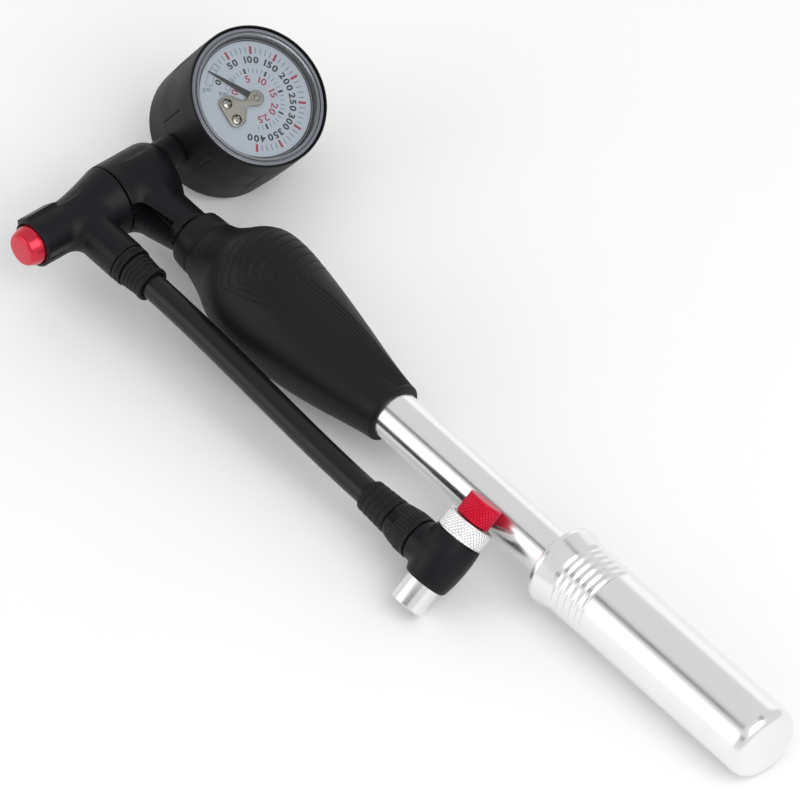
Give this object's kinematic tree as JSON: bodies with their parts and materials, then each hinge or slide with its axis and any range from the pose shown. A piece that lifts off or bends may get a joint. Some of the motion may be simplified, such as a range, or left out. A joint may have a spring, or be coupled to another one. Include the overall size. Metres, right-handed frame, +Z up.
{
  "type": "shock suspension pump",
  "caption": "High-pressure hand pump for a shock or fork: polished barrel and pull handle, rubber grip, side gauge, bleed button and a short hose with a screw-on valve chuck.",
  "frame": {"origin": "bottom centre of the pump as it lies on a table, measured without the hose and its chuck", "axes": "+X along the barrel towards the handle, +Z up from the table, +Y towards the gauge"},
  "size_m": [0.2978, 0.1046, 0.049],
  "materials": {
    "polished_aluminium": "polished",
    "bright_steel": "bright",
    "brass": "machined",
    "black_plastic": "fine satin grain",
    "black_rubber": "matte moulded",
    "hose_rubber": "smooth satin",
    "red_anodised": "satin anodised",
    "clear_lens": "clear",
    "dial_white": "satin print",
    "needle_black": "satin"
  },
  "bodies": {
    "pump_body": {"barrel_tube": "polished_aluminium", "barrel_guide_bush": "black_plastic", "grip_cover": "black_rubber", "head_body": "black_plastic", "check_ball": "bright_steel", "check_spring": "bright_steel", "gauge_boot": "black_rubber", "gauge_case": "black_plastic", "gauge_stem": "brass", "gauge_bezel": "black_plastic", "gauge_lens": "clear_lens", "gauge_dial": "dial_white", "gauge_bridge": "bright_steel", "bridge_screw_1": "bright_steel", "bridge_screw_2": "bright_steel", "bourdon_tube": "brass"},
    "handle": {"handle_sleeve": "polished_aluminium", "handle_wiper": "black_plastic", "handle_end_plug": "black_plastic", "piston_rod": "bright_steel", "piston": "black_plastic", "piston_seal": "black_rubber"},
    "manifold": {"hose_manifold": "black_plastic", "manifold_seal": "black_rubber", "hose_gland_ring": "black_plastic", "hose_boot_head": "black_rubber", "hose": "hose_rubber", "hose_boot_chuck": "black_rubber", "chuck_collar": "black_plastic", "bleed_spring": "bright_steel"},
    "bleed_valve": {"bleed_button": "red_anodised", "bleed_stem": "bright_steel", "bleed_seal": "black_rubber"},
    "chuck": {"chuck_elbow": "black_plastic"},
    "spindle": {"chuck_spindle": "polished_aluminium", "spindle_knurled_ring": "polished_aluminium", "valve_washer": "black_rubber"},
    "pin": {"core_pin": "bright_steel"},
    "knob": {"chuck_knob": "red_anodised"},
    "needle": {"gauge_needle": "needle_black", "needle_hub": "bright_steel"}
  },
  "joints": [
    {"name": "handle_stroke", "type": "slide", "parent": "pump_body", "child": "handle", "axis": [0.9993, 0, -0.0384], "range_m": [0, 0.13]},
    {"name": "manifold_swivel", "type": "hinge", "parent": "pump_body", "child": "manifold", "pos_m": [-0.1233, -0.00795, 0.02188], "axis": [0.0042, -0.9939, 0.1105], "range_deg": [0, 200]},
    {"name": "bleed_press", "type": "slide", "parent": "manifold", "child": "bleed_valve", "axis": [-0.0042, 0.9939, -0.1105], "range_m": [0, 0.003], "stiffness_N_per_m": 400, "springref_m": -0.002, "deforming": ["bleed_spring"]},
    {"name": "chuck_swivel", "type": "hinge", "parent": "manifold", "child": "chuck", "pos_m": [0.03602, -0.03176, 0.01423], "axis": [0.9993, 0, -0.0384], "range_deg": [0, 110]},
    {"name": "spindle_turn", "type": "hinge", "parent": "chuck", "child": "spindle", "pos_m": [0.03602, -0.03176, 0.01423], "axis": [0.0232, 0.7971, 0.6035], "continuous": true},
    {"name": "pin_travel", "type": "slide", "parent": "spindle", "child": "pin", "axis": [0.0232, 0.7971, 0.6035], "range_m": [0, 0.0015]},
    {"name": "knob_turn", "type": "hinge", "parent": "pin", "child": "knob", "pos_m": [0.03602, -0.03176, 0.01423], "axis": [0.0232, 0.7971, 0.6035], "range_deg": [0, 360]},
    {"name": "needle_sweep", "type": "hinge", "parent": "pump_body", "child": "needle", "pos_m": [-0.1151, 0.03106, 0.03756], "axis": [-0.5327, -0.0958, -0.8409], "range_deg": [0, 245], "stiffness_Nm_per_rad": 0.0001, "springref_deg": -11.46}
  ],
  "couplings": [
    {"joint": "knob_turn", "follows": "pin_travel", "rad_per_m": 4188.8}
  ]
}
